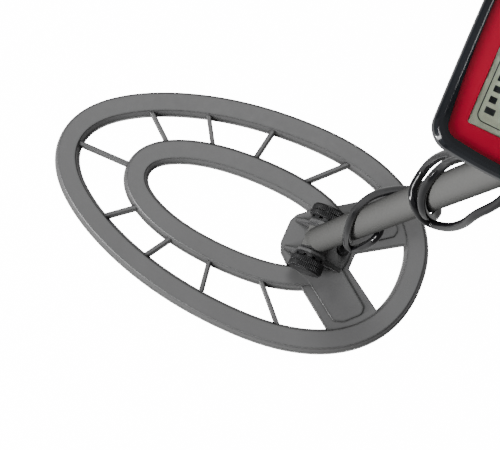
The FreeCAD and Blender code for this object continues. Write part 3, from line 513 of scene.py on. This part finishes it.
# ---------------------------------------------------------------- cable
# Each turn of the loosely wound cable is given as (distance up the shaft, angle round it in
# degrees, distance from its axis). Angle 0 is the shaft's under side, 90 its right side.
CABLE_TAIL = ((24.0, 30.0, 19.5), (52.0, 58.0, 14.6))
CABLE_TURNS = (
    (80.0, 60.0, 13.0), (108.0, 42.0, 12.4), (136.0, 8.0, 12.3), (138.0, -32.0, 13.2),
    (122.0, -52.0, 15.0), (107.0, -64.0, 15.2), (115.0, -92.0, 13.2), (139.0, -127.0, 12.4),
    (156.0, -160.0, 12.2), (168.0, -192.0, 12.2), (188.0, -218.0, 12.9), (204.0, -240.0, 12.4),
    (222.0, -268.0, 12.4), (240.0, -296.0, 12.4), (259.0, -330.0, 12.4), (274.0, -370.0, 12.4),
    (288.0, -416.0, 12.4), (307.0, -462.0, 12.3), (322.0, -500.0, 12.3), (336.0, -533.0, 12.3),
    (352.0, -572.0, 12.8), (378.0, -572.0, 12.9), (402.0, -556.0, 12.6), (420.0, -580.0, 12.8),
    (428.0, -630.0, 13.5), (414.0, -690.0, 15.0), (390.0, -740.0, 17.0), (363.0, -767.0, 18.5),
    (339.0, -768.0, 20.8), (313.0, -768.0, 20.4), (293.0, -776.0, 16.4), (294.0, -807.0, 13.0),
    (303.0, -851.0, 12.6), (306.0, -889.0, 12.8), (312.0, -932.0, 14.6), (328.0, -942.0, 17.2),
    (351.0, -942.0, 17.4), (376.0, -938.0, 15.2), (404.0, -916.0, 12.9), (424.0, -930.0, 13.2),
    (434.0, -968.0, 13.6),
)
CABLE_SPAN = ((446.0, -985.0, 15.6), (468.0, -989.0, 18.6), (490.0, -990.0, 15.4))
CABLE_TOP = ((508.0, -990.0, 14.1), (534.0, -990.0, 14.3))
# The last points, up into the plug's boot, are plain x, y, z of the shaft frame.
CABLE_END = ((-9.0, 26.0, 554.0), (-27.0, 33.0, 570.0), (-27.0, 33.0, 575.5))


def round_shaft(rows):
    """Points of the shaft frame from (distance, angle, reach) rows."""
    points = []
    for distance, angle, reach in rows:
        turn = math.radians(angle)
        points.append(on_shaft(reach * math.cos(turn), reach * math.sin(turn), distance))
    return points


def build_cable():
    """The cable in four lengths: coil to stem, round the stem, stem to rod, and up to the plug."""
    low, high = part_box("cable_tail")
    foot = Vector(((low.x + high.x) / 2, (low.y + high.y) / 2, low.z + 1 * MM))
    points = [foot, foot + Vector((0, 0, 9 * MM))]
    cuts = [0]
    for rows in (CABLE_TAIL, CABLE_TURNS, CABLE_SPAN, CABLE_TOP):
        points += round_shaft(rows)
        cuts.append(len(points) - 1)
    points += [on_shaft(*place) for place in CABLE_END]
    steps = 12
    path = smooth_path(points, steps)
    marks = [0, cuts[1] * steps, cuts[2] * steps, (cuts[3] + 1) * steps, len(path) - 1]
    lengths = [path[marks[i]:marks[i + 1] + 1] for i in range(4)]
    jacket = MATERIALS["cable_jacket"]
    tail = tube_along("cable_tail_flex", lengths[0], CABLE_R * MM, jacket)
    settle(tail, None, "cable_jacket", "cable_tail")
    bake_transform(tail)
    wound = tube_along("cable_turns", lengths[1], CABLE_R * MM, jacket)
    settle(wound, "stem", "cable_jacket", "cable_wound")
    span = tube_along("cable_span", lengths[2], CABLE_R * MM, jacket)
    settle(span, None, "cable_jacket")
    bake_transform(span)
    top = tube_along("cable_top", lengths[3], CABLE_R * MM, jacket)
    settle(top, "handle", "cable_jacket", "cable_upper")


# ---------------------------------------------------------------- soft goods
def grip_axis():
    """Both ends of the grip's axis in the shaft frame, in mm, from the handle's first bend."""
    low = Vector((-BEND_R * (1 - math.cos(BEND_TURN)), 0, BEND_START + BEND_R * math.sin(BEND_TURN)))
    along = Vector((-math.sin(BEND_TURN), 0, math.cos(BEND_TURN)))
    return low + along * GRIP_STARTS, low + along * GRIP_ENDS


def build_grip():
    """Foam grip with finger swells on its front side and rolled ends."""
    low, high = (on_shaft(*end) for end in grip_axis())
    count = 64
    fingers = 4
    path = [low.lerp(high, step / count) for step in range(count + 1)]

    def bulge(share, turn):
        """Share of the full radius at a share of the length and an angle round the grip."""
        ends = min(share, 1 - share) * 22
        roll = math.sqrt(max(0.0, 1 - (1 - min(ends, 1.0)) ** 2))
        finger = 0.5 - 0.5 * math.cos(2 * math.pi * fingers * share)
        side = max(0.0, math.cos(turn - math.pi))
        return (0.78 + 0.22 * roll) * (0.95 + 0.02 * math.sin(math.pi * share) + 0.05 * finger * side)

    made = tube_along("foam_grip", path, GRIP_R * MM, MATERIALS["grip_foam"], 48, bulge)
    settle(made, "handle", "grip_foam", "hand_grip")


def curved_sheet(name, inner, thick, half_length, start, stop, material, crown=0.0):
    """Padded sheet bent round the forearm cup's axis: rounded rim, optional channels on its inside."""
    across, along = 56, 28
    channels = 3
    low, high = ARM_MIDDLE - half_length, ARM_MIDDLE + half_length
    grid = {}
    verts, faces = [], []
    for side in (0, 1):
        for i in range(across + 1):
            for j in range(along + 1):
                u, v = i / across, j / along
                rim = min(u, 1 - u) * across / 3.0
                rim = min(rim, min(v, 1 - v) * along / 2.0, 1.0)
                swell = math.sqrt(max(0.0, 1 - (1 - rim) ** 2))
                turn = math.radians(start + (stop - start) * u)
                depth = thick * (0.5 - 0.5 * swell)
                reach = inner + depth if side == 0 else inner + thick - depth
                if side == 0:
                    reach -= crown * swell * (0.5 - 0.5 * math.cos(2 * math.pi * channels * v))
                x = CUP_X + reach * math.cos(turn)
                y = reach * math.sin(turn)
                grid[side, i, j] = len(verts)
                verts.append(on_shaft(x, y, low + (high - low) * v))
    for side in (0, 1):
        for i in range(across):
            for j in range(along):
                corners = ((i, j), (i + 1, j), (i + 1, j + 1), (i, j + 1))
                quad = tuple(grid[side, a, b] for a, b in corners)
                faces.append(quad if side else tuple(reversed(quad)))
    made = mesh_object(name, verts, faces, material)
    close_rims(made)
    return made


def close_rims(made):
    """Join open rims of a two-sided sheet by merging points that meet, and face all outwards."""
    work = bmesh.new()
    work.from_mesh(made.data)
    bmesh.ops.remove_doubles(work, verts=work.verts, dist=0.00002)
    bmesh.ops.recalc_face_normals(work, faces=work.faces)
    work.to_mesh(made.data)
    work.free()


def build_arm_rest_soft():
    """Neoprene pad in the cup and webbing strap over it, with its stitching."""
    pad = curved_sheet("forearm_pad", 39.4, 4.1, PAD_HALF_LENGTH, -68, 68, MATERIALS["pad_foam"], 0.56)
    settle(pad, "arm_rest", "pad_foam", "arm_pad")
    strap = curved_sheet("forearm_strap", 47.5, 1.7, STRAP_HALF_WIDTH, 61, 299, MATERIALS["webbing"])
    settle(strap, "arm_rest", "webbing", "arm_strap")
    for side in (-1, 1):
        for row in range(2):
            stitches(f"strap_stitch_{'left' if side < 0 else 'right'}_{row}", side * (66 + 5 * row))


def stitches(name, angle):
    """A row of thread stitches across the strap."""
    verts, faces = [], []
    turn = math.radians(angle)
    count = 13
    row_length = 34.0
    stitch_length = 1.7
    thread = ((-0.42, 49.2), (0.42, 49.2), (0.24, 49.65), (-0.24, 49.65))
    for index in range(count):
        start = ARM_MIDDLE - row_length / 2 + row_length * index / count
        base = len(verts)
        for z in (start, start + stitch_length):
            for spread, lift in thread:
                bend = turn + math.radians(spread)
                verts.append(on_shaft(CUP_X + lift * math.cos(bend), lift * math.sin(bend), z))
        faces += [(base, base + 1, base + 5, base + 4), (base + 1, base + 2, base + 6, base + 5),
                  (base + 2, base + 3, base + 7, base + 6), (base + 3, base, base + 4, base + 7),
                  (base, base + 3, base + 2, base + 1), (base + 4, base + 5, base + 6, base + 7)]
    made = mesh_object(name, verts, faces, PRINT_WHITE, False)
    settle(made, "arm_rest", "webbing")


def build_cable_tie():
    """Fabric tie drawn tight round the middle rod and the cable."""
    centres = ((0.0, 0.0, MIDDLE_R + 0.15), (0.0, 14.1, CABLE_R + 0.15))
    outline = []
    offset = math.acos((centres[0][2] - centres[1][2]) / (centres[1][1] - centres[0][1]))
    count = 40
    for index in range(count):
        turn = math.pi / 2 + offset + (2 * math.pi - 2 * offset) * index / (count - 1)
        outline.append((centres[0][2], turn, 0.0))
    for index in range(12):
        turn = math.pi / 2 - offset + 2 * offset * index / 11
        outline.append((centres[1][2], turn, centres[1][1]))
    verts, faces = [], []
    profile = ((0.0, 0.0), (0.0, TIE_WIDTH), (0.5, TIE_WIDTH + 0.3), (1.0, TIE_WIDTH), (1.0, 0.0),
               (0.5, -0.3))
    for reach, turn, shift in outline:
        for lift, rise in profile:
            verts.append(on_shaft((reach + lift) * math.cos(turn), shift + (reach + lift) * math.sin(turn),
                                  TIE_LOW + rise))
    width = len(profile)
    total = len(outline)
    for index in range(total):
        for corner in range(width):
            a = index * width + corner
            b = index * width + (corner + 1) % width
            c = ((index + 1) % total) * width + (corner + 1) % width
            d = ((index + 1) % total) * width + corner
            faces.append((a, b, c, d))
    made = mesh_object("cable_tie_wrap", verts, faces, MATERIALS["webbing"])
    close_rims(made)
    settle(made, "handle", "webbing", "cable_tie")


# ---------------------------------------------------------------- display marks
def flat_mark(name, loops, low, high, body, material):
    """Thin printed shape: each loop of (x, y) points is a closed outline in the shaft frame."""
    verts, faces = [], []
    for loop in loops:
        base, count = len(verts), len(loop)
        for z in (low, high):
            verts += [on_shaft(x, y, z) for x, y in loop]
        faces.append(tuple(base + count + i for i in range(count)))
        faces.append(tuple(base + i for i in reversed(range(count))))
        for i in range(count):
            j = (i + 1) % count
            faces.append((base + i, base + j, base + count + j, base + count + i))
    made = mesh_object(name, verts, faces, material, False)
    close_rims(made)
    settle(made, body, "key_rubber")
    return made


def bar(x0, x1, y0, y1):
    """Outline of an upright rectangle."""
    return [(x0, y0), (x1, y0), (x1, y1), (x0, y1)]


def frame_loops(x0, x1, y0, y1, radius, width, steps=6):
    """A rounded outline drawn as short closed strips."""
    rim = []
    for cx, cy, start in ((x1 - radius, y1 - radius, 0), (x0 + radius, y1 - radius, 90),
                          (x0 + radius, y0 + radius, 180), (x1 - radius, y0 + radius, 270)):
        for step in range(steps + 1):
            turn = math.radians(start + 90 * step / steps)
            rim.append((cx, cy, math.cos(turn), math.sin(turn)))
    loops = []
    for index, (cx, cy, c, s) in enumerate(rim):
        dx, dy, dc, ds = rim[(index + 1) % len(rim)]
        inner = radius - width
        loops.append([(cx + inner * c, cy + inner * s), (cx + radius * c, cy + radius * s),
                      (dx + radius * dc, dy + radius * ds), (dx + inner * dc, dy + inner * ds)])
    return loops


def seven_segment(x, y, on, tall=11.0, wide=5.6, thick=1.1):
    """Bars of one seven-segment figure; x grows downwards on the face, y to the person's right."""
    half = tall / 2
    gap = 0.25
    places = {
        "a": bar(x, x + thick, y + gap, y + wide - gap),
        "g": bar(x + half - thick / 2, x + half + thick / 2, y + gap, y + wide - gap),
        "d": bar(x + tall - thick, x + tall, y + gap, y + wide - gap),
        "f": bar(x + gap, x + half - gap, y, y + thick),
        "b": bar(x + gap, x + half - gap, y + wide - thick, y + wide),
        "e": bar(x + half + gap, x + tall - gap, y, y + thick),
        "c": bar(x + half + gap, x + tall - gap, y + wide - thick, y + wide),
    }
    return [places[name] for name in on]


def build_display_marks():
    """Generic scale, figures, battery sign and outline on the display, under the window."""
    lens_low, lens_high = shaft_box("display_lens")
    low, high = lens_low.z - 0.18, lens_low.z - 0.05
    x0, x1 = lens_low.x + 2.6, lens_high.x - 2.6
    y0, y1 = lens_low.y + 2.8, lens_high.y - 2.8
    loops = frame_loops(x0, x1, y0, y1, 3.2, 0.4)
    for index in range(16):
        y = y0 + 4 + index * 4.6
        tall = 4.2 if index % 5 == 0 else 3.0
        loops.append(bar(x0 + 2.2, x0 + 2.2 + tall, y, y + 2.6))
    loops += seven_segment(x0 + 8.6, -8.0, "abged")
    loops += seven_segment(x0 + 8.6, 0.6, "acdfg")
    for index in range(4):
        loops.append(bar(x1 - 3.6 - 1.2 * index, x1 - 2.2, 24 + 2.6 * index, 25.8 + 2.6 * index))
    loops += frame_loops(x1 - 6.0, x1 - 2.0, y0 + 4, y0 + 13, 0.8, 0.4, 3)
    loops.append(bar(x1 - 5.1, x1 - 2.9, y0 + 5, y0 + 9.5))
    made = flat_mark("display_marks", loops, low, high, "handle", PRINT_BLACK)


def ring_loops(x, y, radius, width, start=0, stop=360, steps=16):
    """Arc drawn as short strips."""
    loops = []
    for step in range(steps):
        a = math.radians(start + (stop - start) * step / steps)
        b = math.radians(start + (stop - start) * (step + 1) / steps)
        loops.append([(x + r * math.cos(t), y + r * math.sin(t))
                      for r, t in ((radius - width, a), (radius, a), (radius, b), (radius - width, b))])
    return loops


def key_sign(name, x, y):
    """Small generic sign for one key, as closed loops."""
    if name == "power_key":
        return ring_loops(x, y, 1.9, 0.45, -140, 140) + [bar(x - 2.4, x - 0.4, y - 0.22, y + 0.22)]
    if name == "mode_key":
        return [bar(x - 1.6 + 1.4 * row, x - 1.15 + 1.4 * row, y - 2, y + 2) for row in range(3)]
    level = bar(x - 0.25, x + 0.25, y - 1.8, y + 1.8)
    if name == "minus_key":
        return [level]
    if name == "plus_key":
        upper = bar(x - 1.8, x - 0.25, y - 0.25, y + 0.25)
        lower = bar(x + 0.25, x + 1.8, y - 0.25, y + 0.25)
        return [level, upper, lower]
    if name == "notch_key":
        return ring_loops(x + 1.2, y, 2.4, 0.45, 110, 250, 8)
    return ring_loops(x, y, 2.0, 0.4) + [bar(x - 0.4, x + 0.4, y - 0.4, y + 0.4)]


def build_key_marks():
    """A printed sign on each key."""
    for name in KEYS:
        low, high = shaft_box(name)
        loops = key_sign(name, (low.x + high.x) / 2, (low.y + high.y) / 2)
        flat_mark(name + "_sign", loops, high.z - 0.02, high.z + 0.08, name, PRINT_WHITE)


# ---------------------------------------------------------------- stage
def floor_paper():
    """White paper that the camera sees as lit from behind, and that throws little light back up."""
    made, shader = new_material("floor_paper")
    shader.inputs["Roughness"].default_value = 0.9
    glow = add(made, "ShaderNodeEmission", Strength=FLOOR_GLOW)
    path = add(made, "ShaderNodeLightPath")
    tone = ramp(made, path.outputs["Is Camera Ray"], ((0.0, (0.3, 0.3, 0.3)), (1.0, (0.9, 0.9, 0.9))))
    link(made, tone, shader.inputs["Base Color"])
    both = add(made, "ShaderNodeAddShader")
    seen = add(made, "ShaderNodeMixShader")
    link(made, shader.outputs["BSDF"], both.inputs[0])
    link(made, glow.outputs["Emission"], both.inputs[1])
    link(made, path.outputs["Is Camera Ray"], seen.inputs["Fac"])
    link(made, shader.outputs["BSDF"], seen.inputs[1])
    link(made, both.outputs["Shader"], seen.inputs[2])
    link(made, seen.outputs["Shader"], made.node_tree.nodes["Material Output"].inputs["Surface"])
    return made


def build_floor():
    """Large pale floor, low enough that the coil clears it with the stem out and the coil tilted."""
    half = 45.0
    low = CAD_BOX[0][2] - FLOOR_DROP
    corners = [(-half, -half, low), (half, -half, low), (half, half, low), (-half, half, low)]
    floor = mesh_object("floor", corners, [(0, 1, 2, 3)], floor_paper(), False)


def area_light(name, place, target, size, power):
    """Rectangular light at a place, turned to a target."""
    data = bpy.data.lights.new(name, "AREA")
    data.shape = "RECTANGLE"
    data.size, data.size_y = size
    data.energy = power
    made = bpy.data.objects.new(name, data)
    bpy.context.scene.collection.objects.link(made)
    made.location = place
    made.rotation_euler = (Vector(target) - Vector(place)).to_track_quat("-Z", "Y").to_euler()
    return made


def build_lights():
    """Soft studio light: white surround, wide key and fill lights, a low side light and a strip."""
    world = bpy.data.worlds.new("studio")
    bpy.context.scene.world = world
    world.use_nodes = True
    backdrop = world.node_tree.nodes["Background"]
    backdrop.inputs["Color"].default_value = (1, 1, 1, 1)
    nodes, links = world.node_tree.nodes, world.node_tree.links
    path = nodes.new("ShaderNodeLightPath")
    glow = nodes.new("ShaderNodeMath")
    glow.operation = "MULTIPLY_ADD"
    glow.inputs[1].default_value = FLOOR_GLOW - WORLD_GLOW
    glow.inputs[2].default_value = WORLD_GLOW
    links.new(path.outputs["Is Camera Ray"], glow.inputs[0])
    links.new(glow.outputs["Value"], backdrop.inputs["Strength"])
    area_light("key", (-2.4, -2.3, 3.6), (0, 0, 0.2), (1.8, 1.8), 230)
    area_light("side", (-1.9, -2.0, 0.6), (0.05, 0, 0.25), (0.3, 0.9), 110)
    area_light("fill", (-0.5, 1.3, 3.4), (0.1, 0, 0.5), (1.2, 1.2), 55)
    area_light("strip", (-0.9, -1.3, 1.2), (0.05, 0, 0.4), (0.25, 1.6), 16)


def build_camera():
    """Camera at the photograph's viewing angle: nearly straight down, a little from the user's left."""
    azimuth = math.radians(23.8)
    elevation = math.radians(79.9)
    distance = 1.448
    target = Vector((-0.050, -0.0044, 0.0))
    back = Vector((math.sin(azimuth) * math.cos(elevation), -math.cos(azimuth) * math.cos(elevation),
                   math.sin(elevation)))
    data = bpy.data.cameras.new("camera")
    data.sensor_width = 36.0
    data.lens = 144.0
    data.clip_start = 0.02
    made = bpy.data.objects.new("camera", data)
    bpy.context.scene.collection.objects.link(made)
    made.location = target + back * distance
    made.rotation_euler = back.to_track_quat("Z", "Y").to_euler()
    bpy.context.scene.camera = made


finish_cad_nodes()
build_cable()
build_grip()
build_arm_rest_soft()
build_cable_tie()
build_display_marks()
build_key_marks()
build_floor()
build_lights()
build_camera()

bpy.context.view_layer.update()
